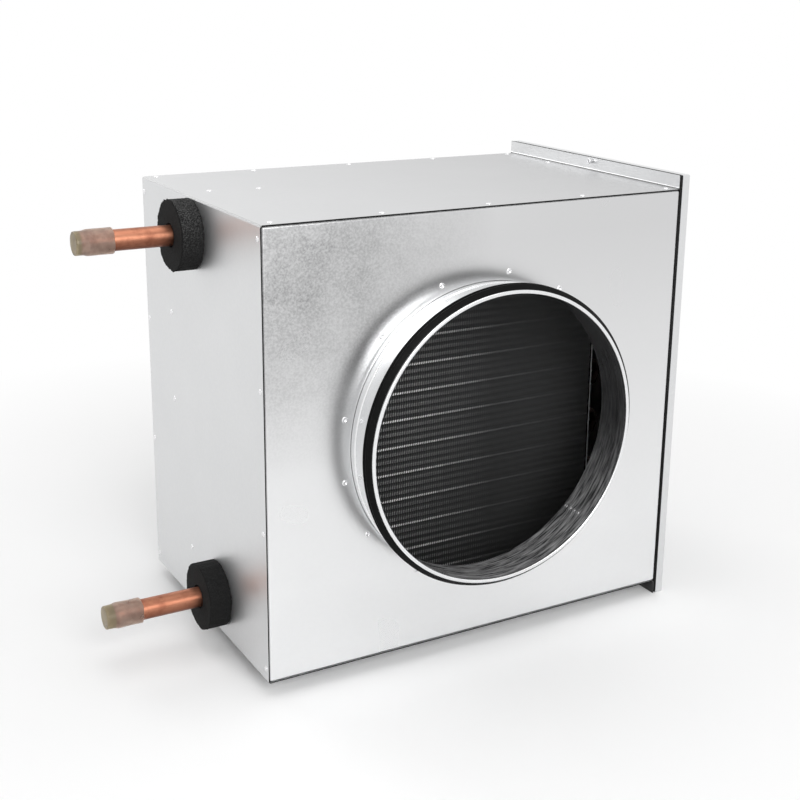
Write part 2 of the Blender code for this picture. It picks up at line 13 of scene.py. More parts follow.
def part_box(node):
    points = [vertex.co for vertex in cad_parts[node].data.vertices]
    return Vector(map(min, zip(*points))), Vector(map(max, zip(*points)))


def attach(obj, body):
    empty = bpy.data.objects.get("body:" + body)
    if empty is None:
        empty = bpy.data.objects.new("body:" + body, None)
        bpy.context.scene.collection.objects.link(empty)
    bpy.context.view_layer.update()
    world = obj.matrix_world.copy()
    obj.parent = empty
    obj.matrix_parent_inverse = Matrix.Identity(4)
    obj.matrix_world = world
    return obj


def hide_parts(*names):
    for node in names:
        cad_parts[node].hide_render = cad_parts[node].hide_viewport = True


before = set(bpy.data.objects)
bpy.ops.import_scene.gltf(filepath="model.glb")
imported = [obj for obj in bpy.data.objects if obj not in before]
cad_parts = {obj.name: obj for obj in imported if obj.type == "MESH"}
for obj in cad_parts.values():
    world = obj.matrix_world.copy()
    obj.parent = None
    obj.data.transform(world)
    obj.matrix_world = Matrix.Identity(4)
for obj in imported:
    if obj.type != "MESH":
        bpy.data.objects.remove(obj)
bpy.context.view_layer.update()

# Where the casing stands in the frame
SPIGOT_LOW, SPIGOT_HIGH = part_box("front_spigot")
MIDDLE = Vector(((SPIGOT_LOW.x + SPIGOT_HIGH.x) / 2, 0.0, (SPIGOT_LOW.z + SPIGOT_HIGH.z) / 2))


def node_box(node):
    """Lowest and highest corner of a CAD node, in millimetres from the middle of the casing."""
    low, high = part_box(node)
    return (low - MIDDLE) * 1000, (high - MIDDLE) * 1000


WRAP_LOW, WRAP_HIGH = node_box("casing_wrap")
PANEL_LOW, PANEL_HIGH = node_box("front_panel")
COVER_FACE_X = node_box("inspection_cover")[1].x
FIN_LOW, FIN_HIGH = node_box("fin_pack")
HALF_DEPTH = -PANEL_LOW.y
HALF_HEIGHT = 235.0
WALL_X = WRAP_LOW.x
FLANGE_X = WRAP_HIGH.x

# Camera, found from the corners of the casing in the photograph
CAMERA_PLACE = (-0.66747, -1.27912, 0.71136)
CAMERA_TURN = (74.140, -0.798, -30.008)
CAMERA_LENS = 59.79
CAMERA_SHIFT = (-0.02875, -0.06375)

# Sheets, the gap that touching pieces keep, and how near points are to be welded
SHEET = 1.0
PANEL_FOLD = 2.5
FOLD_SEGMENTS = 5
SEAT_GAP = 0.3
WELD_REACH = 0.02

# Marks on the sheets: how deep the painted shadow of the seams on a cut edge and the painted shade in a fold
# reach, the worn corner, the panels' spangled patch with the distances where it starts to fade and is gone,
# and the heights where the panels turn grey with painted shade towards the top
CUT_DEPTH = 0.25
FOLD_DEPTH = 1.3
WORN_CORNER = 2.0
PATCH_PLACE = (-225.0, -HALF_DEPTH, 215.0)
PATCH_FADE = (50.0, 235.0)
PANEL_SHADE = (-140.0, 200.0)

# Spigots: radii from the duct's axis, distances out from the panel
SPIGOT_RADIUS = 157.0
SPIGOT_LENGTH = 47.0
SPIGOT_SHEET = 0.8
RIM_DEPTH = 2.5
HEM_WIDTH = 4.0
HEM_DEPTH = 2.4
GROOVE_LENGTH = 14.5
GROOVE_RAMP = 2.5
BEAD_OFFSET = 6.5
BEAD_WIDTH = 4.2
BEAD_HEIGHT = 1.3
BEAD_SLOPE = 0.8
COLLAR_WIDTH = 16.0
SPIGOT_STEPS = 216
GASKET_LENGTH = 11.5
LIP_REACH = 5.0
LIP_LEAN = 3.6
LIP_THICKNESS = 1.1
LIP_SPACING = 5.4
LAP_ANGLE = -45.0
LAP_WIDTH = 11.0
LAP_RISE = 0.75
LAP_WELDS = (4.0, 11.0, 18.0, 25.0)
WELD_PROFILE = ((0.0, 0.25), (0.9, 0.25), (1.4, 0.75), (2.0, 0.7), (2.6, 0.0))

# Heights between which the streaks inside a spigot fade out going up, into the painted shade of the tube's
# upper inside
STREAK_FADE = (-120.0, -10.0)

# Clinch points round each spigot, in degrees from +X, and their profile as (radius, height)
CLINCH_RADIUS = 167.0
CLINCH_ANGLES = (57, 81, 109, 137, 168.5, 191.5, 214.5, 241.5, 266, 291, 316, 341, 6, 31)
CLINCH_PROFILE = ((0.0, 0.05), (0.9, 0.1), (1.5, 0.75), (2.2, 0.9), (2.9, 0.6), (3.3, 0.0),
                  (3.3, -0.1), (0.0, -0.1))

# Coil; the fins' ripple stands on their outer edges only, up to RIPPLE_REACH from the middle
TUBE_PITCH = 31.75
ROW_PITCH = 27.5
TUBE_RADIUS = 4.76
FIN_PITCH = 3.0
FIN_WAVE = TUBE_PITCH / 4
FIN_RIPPLE = 0.55
FIN_EDGE = 1.6
FIN_SCATTER = 0.12
FIN_LEAN = 0.5
RIPPLE_REACH = 165.0
HEADER_FEEDERS = 7
PLATE_SHEET = 1.5

# Flats on the fins' edges, as half width and half height: in line with a tube, and between tubes
BROAD_LIP = (0.55, 1.25)
NARROW_LIP = (0.55 * 0.45, 2.0)

# Where the light on the fins' edges fades, to the right and going up
FIN_FADE_X = (-30.0, 90.0)
FIN_FADE_Z = (30.0, 150.0)

# Pipes, foam rings and caps; FOAM_SHADE holds heights from the pipe, between which the painted shade of the
# underside gives way to the grain painted lighter on top
PIPE_RADIUS = 11.0
PIPE_WALL = 1.0
HEADER_RADIUS = 14.0
FOAM_CLEARANCE = 1.6
FOAM_VOXEL = 0.75
FOAM_SHADE = (-30.0, 25.0)
FOAM_CUT_DEPTH = 1.2
CAP_WALL = 2.2

# Rivets on the wrap: the two rows' distance from the middle, and the head as (radius, height)
RIVET_ROW_FRONT = -155.0
RIVET_ROW_BACK = 158.0
RIVET_PROFILE = ((0.0, 0.35), (0.7, 0.35), (0.9, 0.95), (1.6, 1.0), (2.4, 0.65), (2.9, 0.15),
                 (2.9, -0.2), (0.0, -0.2))


# ---- Shaders ----


def new_finish(name, colour, roughness, metallic=0.0):
    finish = bpy.data.materials.new(name)
    finish.use_nodes = True
    shader = finish.node_tree.nodes["Principled BSDF"]
    shader.inputs["Base Color"].default_value = (*colour, 1.0)
    shader.inputs["Roughness"].default_value = roughness
    shader.inputs["Metallic"].default_value = metallic
    return finish, finish.node_tree, shader


def add(tree, kind, **settings):
    """A shader node with its settings."""
    item = tree.nodes.new("ShaderNode" + kind)
    for name, value in settings.items():
        setattr(item, name, value)
    return item


def in_frame_x(x):
    return x / 1000 + MIDDLE.x


def in_frame_z(z):
    return z / 1000 + MIDDLE.z


def place_on(tree, stretch=(1.0, 1.0, 1.0)):
    """Object coordinates, stretched along an axis for drawn or brushed grain."""
    where = add(tree, "TexCoord").outputs["Object"]
    if stretch == (1.0, 1.0, 1.0):
        return where
    scaled = add(tree, "Mapping")
    scaled.inputs["Scale"].default_value = stretch
    tree.links.new(where, scaled.inputs["Vector"])
    return scaled.outputs["Vector"]


def grain(tree, scale, detail=2.0, roughness=0.55, stretch=(1.0, 1.0, 1.0)):
    item = add(tree, "TexNoise")
    item.inputs["Scale"].default_value = scale
    item.inputs["Detail"].default_value = detail
    item.inputs["Roughness"].default_value = roughness
    tree.links.new(place_on(tree, stretch), item.inputs["Vector"])
    return item.outputs["Fac"]


def flakes(tree, scale):
    """One random value for each crystal of zinc."""
    item = add(tree, "TexVoronoi")
    item.inputs["Scale"].default_value = scale
    tree.links.new(place_on(tree), item.inputs["Vector"])
    split = add(tree, "SeparateColor")
    tree.links.new(item.outputs["Color"], split.inputs["Color"])
    return split.outputs["Red"]


def axis(tree, name):
    split = add(tree, "SeparateXYZ")
    tree.links.new(place_on(tree), split.inputs["Vector"])
    return split.outputs[name]


def feed(tree, socket, value):
    if isinstance(value, (int, float)):
        socket.default_value = value
    else:
        tree.links.new(value, socket)


def math_node(tree, operation, first, second=0.0):
    item = add(tree, "Math", operation=operation)
    feed(tree, item.inputs[0], first)
    feed(tree, item.inputs[1], second)
    return item.outputs[0]


def times(tree, first, second):
    return math_node(tree, "MULTIPLY", first, second)


def over(tree, value, limit):
    """1 where a value in metres is over a limit in millimetres, or else 0."""
    return math_node(tree, "GREATER_THAN", value, limit / 1000)


def below(tree, value, limit):
    """1 where a value in metres is below a limit in millimetres, or else 0."""
    return math_node(tree, "LESS_THAN", value, limit / 1000)


def from_middle(tree, name):
    """Metres from the middle of the casing, along an axis."""
    return math_node(tree, "SUBTRACT", axis(tree, name), getattr(MIDDLE, name.lower()))


def from_whole(tree, value):
    """How far a value is from the nearest whole number."""
    part = math_node(tree, "FRACT", math_node(tree, "ADD", value, 0.5))
    return math_node(tree, "ABSOLUTE", math_node(tree, "SUBTRACT", part, 0.5))


def spread(tree, value, low, high, start=0.0, end=1.0):
    """The value, mapped from start..end to low..high."""
    item = add(tree, "MapRange")
    feed(tree, item.inputs["Value"], value)
    item.inputs["From Min"].default_value = start
    item.inputs["From Max"].default_value = end
    item.inputs["To Min"].default_value = low
    item.inputs["To Max"].default_value = high
    return item.outputs["Result"]


def between(tree, value, first, second):
    """A colour between two others, each a triple or a socket."""
    item = add(tree, "Mix", data_type="RGBA")
    feed(tree, item.inputs["Factor"], value)
    for socket, colour in ((item.inputs[6], first), (item.inputs[7], second)):
        if isinstance(colour, tuple):
            socket.default_value = (*colour, 1.0)
        else:
            tree.links.new(colour, socket)
    return item.outputs[2]


def paint(tree, shader, name, value):
    """Lets a socket feed an input of the shader."""
    tree.links.new(value, shader.inputs[name])


def relief(tree, shader, height, strength, distance, under=None):
    """Bumps, on top of other bumps where those are given."""
    item = add(tree, "Bump")
    item.inputs["Strength"].default_value = strength
    item.inputs["Distance"].default_value = distance
    tree.links.new(height, item.inputs["Height"])
    if under is not None:
        tree.links.new(under, item.inputs["Normal"])
    tree.links.new(item.outputs["Normal"], shader.inputs["Normal"])
    return item.outputs["Normal"]


def galvanised(name, light, contrast, roughness):
    """Zinc-coated sheet: small flakes and cloudy patches."""
    finish, tree, shader = new_finish(name, (light, light, light), roughness, 1.0)
    fleck = spread(tree, flakes(tree, 330.0), -contrast, contrast)
    cloud = spread(tree, grain(tree, 9.0, 3.0), -contrast, contrast, 0.3, 0.7)
    tone = spread(tree, math_node(tree, "ADD", fleck, cloud), 0.0, 1.0, -1.0, 1.0)
    dark = tuple(light * share for share in (0.80, 0.81, 0.82))
    pale = tuple(min(1.0, light * share) for share in (1.14, 1.145, 1.15))
    paint(tree, shader, "Base Color", between(tree, tone, dark, pale))
    gloss = spread(tree, grain(tree, 12.0, 1.0), roughness - 0.03, roughness + 0.03, 0.3, 0.7)
    paint(tree, shader, "Roughness", gloss)
    relief(tree, shader, grain(tree, 7.0, 1.0), 0.2, 0.004)
    return finish, tree, shader


def darken(tree, shader, mask, colour):
    """Lays a darker colour over the base colour so far, where the mask is 1."""
    so_far = shader.inputs["Base Color"].links[0].from_socket
    paint(tree, shader, "Base Color", between(tree, mask, so_far, colour))


def wrap_sheet():
    """The casing's sheet: greyer on top towards the cover as painted shade, with painted shadow of the seams
    on its cut edges, and painted shade in its folds and under the casing.
    """
    finish, tree, shader = galvanised("wrap_sheet", 0.73, 0.06, 0.40)
    across = from_middle(tree, "X")
    height = from_middle(tree, "Z")
    side = math_node(tree, "ABSOLUTE", from_middle(tree, "Y"))
    level = math_node(tree, "ABSOLUTE", height)
    flange = FLANGE_X - SHEET
    # Painted shade: the top is greyed more and more towards the cover
    roof = times(tree, over(tree, height, HALF_HEIGHT - SHEET / 2), below(tree, across, flange - FOLD_DEPTH))
    right = spread(tree, across, 0.25, 0.8, WALL_X / 1000, flange / 1000)
    darken(tree, shader, times(tree, roof, right), (0.46, 0.46, 0.465))
    # Painted shadow of the seams: the cut edges at the front and back and along the flanges' top and bottom
    # ends are painted near black
    cut = math_node(tree, "MAXIMUM", over(tree, side, HALF_DEPTH - CUT_DEPTH),
                    over(tree, level, WRAP_HIGH.z - CUT_DEPTH))
    darken(tree, shader, cut, (0.015, 0.015, 0.015))
    corner = times(tree, over(tree, height, HALF_HEIGHT - WORN_CORNER),
                   below(tree, across, WALL_X + WORN_CORNER))
    darken(tree, shader, times(tree, corner, 0.6), (0.36, 0.36, 0.36))
    # Painted shade: the flange under the casing is painted dark
    underside_shade = times(tree, below(tree, height, -HALF_HEIGHT - 0.2), over(tree, across, flange - FOLD_DEPTH))
    darken(tree, shader, underside_shade, (0.08, 0.08, 0.08))
    # Painted shade in the fold where the top and bottom sheets turn up into the flange
    fold = times(tree, over(tree, across, flange - FOLD_DEPTH), below(tree, across, flange + 0.1))
    low = below(tree, level, HALF_HEIGHT + FOLD_DEPTH)
    darken(tree, shader, times(tree, fold, low), (0.12, 0.12, 0.12))
    return finish


def front_sheet():
    """The panels' sheet: painted shade greying it towards the top, a dull spangled patch high on one side and
    a clean bright face elsewhere.
    """
    finish, tree, shader = galvanised("panel_sheet", 0.88, 0.03, 0.30)
    # Painted shade: the panels turn greyer towards the top
    upper = spread(tree, axis(tree, "Z"), 0.0, 0.7, *(in_frame_z(z) for z in PANEL_SHADE))
    darken(tree, shader, upper, (0.56, 0.56, 0.565))
    away = add(tree, "VectorMath", operation="DISTANCE")
    tree.links.new(place_on(tree), away.inputs[0])
    away.inputs[1].default_value = Vector(PATCH_PLACE) / 1000 + MIDDLE
    near = spread(tree, away.outputs["Value"], 1.0, 0.0, *(reach / 1000 for reach in PATCH_FADE))
    speckle = spread(tree, grain(tree, 420.0, 4.0, 0.7), 0.5, 1.0, 0.38, 0.62)
    cloud = spread(tree, grain(tree, 30.0, 3.0), 0.7, 1.0, 0.35, 0.65)
    patch = times(tree, near, times(tree, speckle, cloud))
    darken(tree, shader, times(tree, patch, 0.9), (0.25, 0.251, 0.253))
    return finish


def spigot_sheet():
    """Rolled sheet: mirror-like outside and on the rim; inside the tube dull with streaks, painted dark as
    shade that deepens going up.
    """
    finish, tree, shader = galvanised("galvanised_spigot", 0.86, 0.10, 0.22)
    side = math_node(tree, "POWER", from_middle(tree, "X"), 2.0)
    level = math_node(tree, "POWER", from_middle(tree, "Z"), 2.0)
    reach = math_node(tree, "SQRT", math_node(tree, "ADD", side, level))
    out = math_node(tree, "ABSOLUTE", from_middle(tree, "Y"))
    inside = times(tree, below(tree, reach, SPIGOT_RADIUS - SPIGOT_SHEET / 2),
                   math_node(tree, "LESS_THAN", out, MIDDLE.y - SPIGOT_LOW.y - RIM_DEPTH / 1000))
    # Painted shade inside the tube: near black, with the streaks painted lighter only low down, where light
    # falls in; higher up they fade into the dark
    streak = spread(tree, grain(tree, 170.0, 4.0, 0.6, (0.25, 2.5, 0.25)), 0.0, 1.0, 0.36, 0.68)
    low = spread(tree, axis(tree, "Z"), 1.0, 0.1, *(in_frame_z(z) for z in STREAK_FADE))
    worn = between(tree, times(tree, streak, low), (0.055, 0.055, 0.057), (0.66, 0.66, 0.665))
    darken(tree, shader, inside, worn)
    paint(tree, shader, "Metallic", spread(tree, inside, 1.0, 0.35))
    return finish


def fin_sheet():
    """Rippled aluminium, painted dark as the shade among the fins, with painted highlights on the pressed
    edges in line with the front tubes and fainter ones between them.
    """
    finish, tree, shader = new_finish("fin_aluminium", (0.3, 0.3, 0.3), 0.45, 0.3)
    above_tube = math_node(tree, "SUBTRACT", axis(tree, "Z"), in_frame_z(FIRST_TUBE_Z))
    turns = math_node(tree, "DIVIDE", above_tube, TUBE_PITCH / 1000)
    # Painted highlights: bright ticks on the edges in line with each tube, and fainter dashes at each quarter
    # pitch between
    painted_tube_glint = spread(tree, from_whole(tree, turns), 1.0, 0.0, 0.035, 0.075)
    painted_row_glint = spread(tree, from_whole(tree, times(tree, turns, 4.0)), 1.0, 0.0, 0.20, 0.40)
    half_depth = (FIN_HIGH.y - FIN_LOW.y) / 2
    depth = math_node(tree, "SUBTRACT", axis(tree, "Y"), (FIN_LOW.y + FIN_HIGH.y) / 2000)
    edge = spread(tree, math_node(tree, "ABSOLUTE", depth), 0.0, 1.0,
                  (half_depth - FIN_EDGE) / 1000, (half_depth - FIN_EDGE / 2) / 1000)
    rows = math_node(tree, "MAXIMUM", painted_tube_glint, times(tree, painted_row_glint, 0.27))
    worn = times(tree, rows, spread(tree, grain(tree, 180.0, 3.0), 0.5, 1.4, 0.3, 0.7))
    line = math_node(tree, "ADD", times(tree, worn, 0.8), 0.2)
    # Painted light: the highlights fade to the right and going up
    fade = spread(tree, axis(tree, "X"), 1.0, 0.03, *(in_frame_x(x) for x in FIN_FADE_X))
    lower = spread(tree, axis(tree, "Z"), 1.0, 0.55, *(in_frame_z(z) for z in FIN_FADE_Z))
    shine = times(tree, times(tree, line, edge), times(tree, fade, lower))
    # Painted shade: the fins away from their edges are painted dark grey for the shade among them, and the
    # edges go up to white as painted highlight
    paint(tree, shader, "Base Color", between(tree, shine, (0.17, 0.172, 0.175), (1.0, 1.0, 1.0)))
    paint(tree, shader, "Metallic", spread(tree, shine, 0.3, 0.0))
    return finish


def copper_sheet():
    """Drawn copper: long faint streaks, brown blotches of tarnish, small dents, and painted shade on the
    underside of each pipe.
    """
    finish, tree, shader = new_finish("copper", (0.72, 0.36, 0.24), 0.3, 1.0)
    streak = spread(tree, grain(tree, 140.0, 3.0, 0.6, (0.12, 1.0, 1.0)), 0.0, 1.0, 0.3, 0.7)
    blotch = grain(tree, 60.0, 4.0, 0.65)
    worn = between(tree, streak, (0.35, 0.135, 0.08), (0.50, 0.22, 0.135))
    stain = spread(tree, blotch, 0.0, 0.75, 0.52, 0.72)
    paint(tree, shader, "Base Color", between(tree, stain, worn, (0.25, 0.09, 0.055)))
    # Painted shade: the underside of each pipe is darkened, most at the bottom and not at all above a quarter
    # radius over the axis
    for pipe_z in (UPPER_PIPE_Z, LOWER_PIPE_Z):
        height = math_node(tree, "SUBTRACT", axis(tree, "Z"), in_frame_z(pipe_z))
        shade = spread(tree, height, 0.85, 0.0, -PIPE_RADIUS / 1000, PIPE_RADIUS / 4000)
        darken(tree, shader, times(tree, shade, over(tree, height, -1.2 * PIPE_RADIUS)), (0.17, 0.06, 0.036))
    paint(tree, shader, "Roughness", spread(tree, blotch, 0.32, 0.46, 0.35, 0.7))
    relief(tree, shader, grain(tree, 90.0, 3.0), 0.08, 0.0006)
    return finish


def coil_metal(name, plate_x):
    """An end plate of sheet steel, with the copper of its tubes and bends on both sides of it painted near
    black as the shade inside the casing.
    """
    finish, tree, shader = new_finish(name, (0.6, 0.6, 0.6), 0.35, 1.0)
    across = from_middle(tree, "X")
    inside = times(tree, over(tree, across, plate_x), below(tree, across, plate_x + PLATE_SHEET))
    steel = between(tree, flakes(tree, 300.0), (0.80, 0.80, 0.81), (0.94, 0.94, 0.95))
    # Painted shade: the copper of the tubes and bends is painted near black for the shade inside the casing
    copper = between(tree, grain(tree, 80.0, 4.0), (0.012, 0.008, 0.007), (0.03, 0.02, 0.017))
    paint(tree, shader, "Base Color", between(tree, inside, copper, steel))
    paint(tree, shader, "Metallic", spread(tree, inside, 1.0, 0.0))
    relief(tree, shader, grain(tree, 600.0), 0.08, 0.0003)
    return finish


def rubber():
    """Black lip gasket with a soft sheen and a trace of dust."""
    finish, tree, shader = new_finish("gasket_rubber", (0.008, 0.008, 0.008), 0.42)
    shader.inputs["Specular IOR Level"].default_value = 0.08
    dust = spread(tree, grain(tree, 420.0, 4.0, 0.7), 0.0, 1.0, 0.55, 0.85)
    paint(tree, shader, "Base Color", between(tree, dust, (0.003, 0.003, 0.003), (0.014, 0.014, 0.0145)))
    paint(tree, shader, "Roughness", spread(tree, grain(tree, 200.0, 2.0), 0.34, 0.55, 0.3, 0.7))
    relief(tree, shader, grain(tree, 1200.0, 3.0), 0.15, 0.0003)
    return finish


def foam(name, lit_grain_tone, axis_z=0.0, face_x=None):
    """Cellular rubber: open pores, and grey grain painted lighter on the upper part as painted light; the
    underside, in painted shade, and the outer face stay near black.
    """
    finish, tree, shader = new_finish(name, (0.02, 0.02, 0.02), 0.95)
    cells = add(tree, "TexVoronoi")
    cells.inputs["Scale"].default_value = 900.0
    tree.links.new(place_on(tree), cells.inputs["Vector"])
    pores = cells.outputs["Distance"]
    # Grey grain over the foam, as light as the grain tone; it stays only on the upper part, where it is
    # painted light
    lit_grain = spread(tree, grain(tree, 700.0, 4.0, 0.75), 0.0, 1.0, 0.45, 0.75)
    paint(tree, shader, "Base Color", between(tree, lit_grain, (0.006, 0.006, 0.006), (lit_grain_tone,) * 3))
    # Painted shade: the underside goes near black below the pipe; the outer face, FOAM_CUT_DEPTH deep, is
    # kept dark as well
    dark_underside_and_face = spread(tree, axis(tree, "Z"), 1.0, 0.0, *(in_frame_z(axis_z + z) for z in FOAM_SHADE))
    if face_x is not None:
        cut = below(tree, from_middle(tree, "X"), face_x + FOAM_CUT_DEPTH)
        dark_underside_and_face = math_node(tree, "MAXIMUM", dark_underside_and_face, cut)
    darken(tree, shader, dark_underside_and_face, (0.006, 0.006, 0.006))
    soft = relief(tree, shader, grain(tree, 260.0, 4.0, 0.7), 0.5, 0.0012)
    relief(tree, shader, pores, 0.45, 0.0006, soft)
    shader.inputs["Specular IOR Level"].default_value = 0.25
    return finish


def cloudy_plastic(name, bottom_x):
    """Milky soft plastic over the copper, clear and yellowish where it passes the pipe's end."""
    finish, tree, shader = new_finish(name, (0.5, 0.42, 0.33), 0.36)
    shader.inputs["Transmission Weight"].default_value = 0.72
    shader.inputs["IOR"].default_value = 1.3
    haze = grain(tree, 90.0, 4.0, 0.6)
    streak = grain(tree, 60.0, 3.0, 0.6, (0.2, 1.0, 1.0))
    body = between(tree, spread(tree, haze, 0.0, 1.0, 0.38, 0.62), (0.52, 0.37, 0.30), (0.76, 0.60, 0.50))
    worn = between(tree, spread(tree, streak, 0.0, 0.6, 0.4, 0.65), body, (0.42, 0.29, 0.23))
    past = spread(tree, axis(tree, "X"), 1.0, 0.0, bottom_x - 0.001, bottom_x + 0.001)
    paint(tree, shader, "Base Color", between(tree, past, worn, (0.50, 0.42, 0.28)))
    paint(tree, shader, "Roughness", spread(tree, haze, 0.26, 0.5, 0.3, 0.7))
    relief(tree, shader, grain(tree, 160.0, 3.0), 0.2, 0.0006)
    return finish


def zinc_plate():
    """Bright zinc on rivets, screws and inserts, duller where it was pressed."""
    finish, tree, shader = new_finish("zinc_plate", (0.8, 0.8, 0.8), 0.2, 1.0)
    scuff = grain(tree, 900.0, 3.0, 0.65)
    paint(tree, shader, "Base Color", between(tree, scuff, (0.70, 0.70, 0.71), (0.93, 0.93, 0.94)))
    paint(tree, shader, "Roughness", spread(tree, scuff, 0.14, 0.34, 0.3, 0.7))
    return finish


# ---- Shapes ----


FACE_AXES = {
    "front": ((1, 0, 0), (0, 0, 1), (0, -1, 0)),
    "rear": ((-1, 0, 0), (0, 0, 1), (0, 1, 0)),
    "left": ((0, -1, 0), (0, 0, 1), (-1, 0, 0)),
    "right": ((0, 1, 0), (0, 0, 1), (1, 0, 0)),
    "top": ((1, 0, 0), (0, 1, 0), (0, 0, 1)),
    "bottom": ((1, 0, 0), (0, -1, 0), (0, 0, -1)),
}


def facing(points, face, origin):
    """Points with their own Z pointing out of a face of the casing, at an origin."""
    return np.asarray(points, float) @ np.array(FACE_AXES[face], float) + np.array(origin, float)


def grid(rows, columns, wrap_rows=False, wrap_columns=False):
    """Quads over a grid of points that is stored row by row."""
    across = np.arange(columns if wrap_columns else columns - 1)
    down = np.arange(rows if wrap_rows else rows - 1)
    row, column = np.meshgrid(down, across, indexing="ij")
    next_row = (row + 1) % rows
    next_column = (column + 1) % columns
    corners = (row * columns + column, row * columns + next_column,
               next_row * columns + next_column, next_row * columns + column)
    return np.stack([c.ravel() for c in corners], axis=1)


def turned(profile, steps, closed=True):
    """A profile of (radius, height) points turned about Z."""
    profile = np.asarray(profile, float)
    turn = np.linspace(0.0, math.tau, steps, endpoint=False)[:, None]
    points = np.stack([np.cos(turn) * profile[:, 0], np.sin(turn) * profile[:, 0],
                       np.broadcast_to(profile[:, 1], (steps, len(profile)))], axis=2)
    return points.reshape(-1, 3), grid(steps, len(profile), True, closed)


def swept(path, radius, sides=14):
    """A round bar along a path, with flat ends."""
    path = np.asarray(path, float)
    ahead = np.gradient(path, axis=0)
    ahead /= np.linalg.norm(ahead, axis=1)[:, None]
    side = np.cross(ahead, (0.0, 1.0, 0.013))
    side /= np.linalg.norm(side, axis=1)[:, None]
    up = np.cross(ahead, side)
    turn = np.linspace(0.0, math.tau, sides, endpoint=False)
    rings = (path[:, None] + radius * (np.cos(turn)[None, :, None] * side[:, None]
                                       + np.sin(turn)[None, :, None] * up[:, None]))
    return rings.reshape(-1, 3), grid(len(path), sides, False, True)


def merged(shapes):
    """Several (points, faces) as one."""
    points, faces, count = [], [], 0
    for some_points, some_faces in shapes:
        points.append(some_points)
        faces.append(np.asarray(some_faces) + count)
        count += len(some_points)
    return np.vstack(points), np.vstack(faces)


def rounded(path, radius, steps=4, closed=False):
    """A line of points with curves at its corners."""
    points = [np.array(p, float) for p in path]
    corners = list(zip(points, points[1:], points[2:]))
    if closed:
        corners = [(points[i - 1], points[i], points[(i + 1) % len(points)]) for i in range(len(points))]
    result = [] if closed else [points[0]]
    for before, corner, after in corners:
        back, forth = before - corner, after - corner
        reach = min(radius, 0.45 * np.linalg.norm(back), 0.45 * np.linalg.norm(forth))
        start = corner + back / np.linalg.norm(back) * reach
        end = corner + forth / np.linalg.norm(forth) * reach
        for t in np.linspace(0.0, 1.0, steps + 1):
            result.append((1 - t) ** 2 * start + 2 * t * (1 - t) * corner + t ** 2 * end)
    if not closed:
        result.append(points[-1])
    return np.array(result)


def sheet_outline(path, thickness):
    """The outline of a sheet whose centre line is the path."""
    path = np.asarray(path, float)
    keep = np.append(True, np.linalg.norm(np.diff(path, axis=0), axis=1) > 1e-6)
    path = path[keep]
    steps = np.diff(path, axis=0)
    steps /= np.linalg.norm(steps, axis=1)[:, None]
    sides = np.stack([-steps[:, 1], steps[:, 0]], axis=1)
    mitre = np.vstack([sides[:1], sides]) + np.vstack([sides, sides[-1:]])
    mitre /= np.linalg.norm(mitre, axis=1)[:, None]
    return np.vstack([path + mitre * thickness / 2, (path - mitre * thickness / 2)[::-1]])


def link_piece(item, body, stands_for=()):
    """Puts a piece in the scene, on its body, in the place of the CAD nodes it stands for."""
    bpy.context.scene.collection.objects.link(item)
    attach(item, body)
    if stands_for:
        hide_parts(*stands_for)


def tidy_mesh(mesh, angle):
    """Weld points that meet, turn the faces outwards and shade it smooth between sharp edges."""
    shape = bmesh.new()
    shape.from_mesh(mesh)
    bmesh.ops.remove_doubles(shape, verts=shape.verts, dist=WELD_REACH / 1000)
    bmesh.ops.recalc_face_normals(shape, faces=shape.faces)
    shape.to_mesh(mesh)
    shape.free()
    mesh.shade_smooth()
    mesh.set_sharp_from_angle(angle=math.radians(angle))


def make_piece(name, shape, finish, body="heater", stands_for=(), angle=35.0):
    """A piece of the look from (points, faces)."""
    points, faces = shape
    mesh = bpy.data.meshes.new(name)
    mesh.from_pydata(np.asarray(points) / 1000 + np.array(MIDDLE), [], faces.tolist())
    tidy_mesh(mesh, angle)
    mesh.materials.append(finish)
    link_piece(bpy.data.objects.new(name, mesh), body, stands_for)


# ---- The heater ----


def spigot_shape(side):
    """A spigot: folded rim, groove for the gasket, bead and the collar behind the panel."""
    half = SPIGOT_SHEET / 2
    outer = SPIGOT_RADIUS - half
    inner = SPIGOT_RADIUS - HEM_WIDTH + half
    front = SPIGOT_LENGTH - half
    groove_end = front - GROOVE_LENGTH
    behind = -SHEET - half - SEAT_GAP
    path = [(outer, front - HEM_DEPTH), (outer, front), (inner, front), (inner, groove_end),
            (outer, groove_end - GROOVE_RAMP), (outer, behind), (SPIGOT_RADIUS + COLLAR_WIDTH, behind)]
    profile = sheet_outline(rounded(path, 1.1), SPIGOT_SHEET)
    top = BEAD_OFFSET + BEAD_WIDTH
    crest = SPIGOT_RADIUS + BEAD_HEIGHT
    bead = rounded([(SPIGOT_RADIUS, top), (crest, top - BEAD_SLOPE), (crest, BEAD_OFFSET + BEAD_SLOPE),
                    (SPIGOT_RADIUS, BEAD_OFFSET)], 0.8)
    collar = next(i for i, (radius, height) in enumerate(profile)
                  if height < BEAD_OFFSET and abs(radius - SPIGOT_RADIUS) < 0.1)
    profile = np.vstack([profile[:collar], bead, profile[collar:]])
    points, faces = turned(profile, SPIGOT_STEPS)
    return facing(points, side, face_origin(side)), faces


def face_origin(side, across=0.0, up=0.0):
    """A point on the front or rear panel's face."""
    return (across, -HALF_DEPTH if side == "front" else HALF_DEPTH, up)


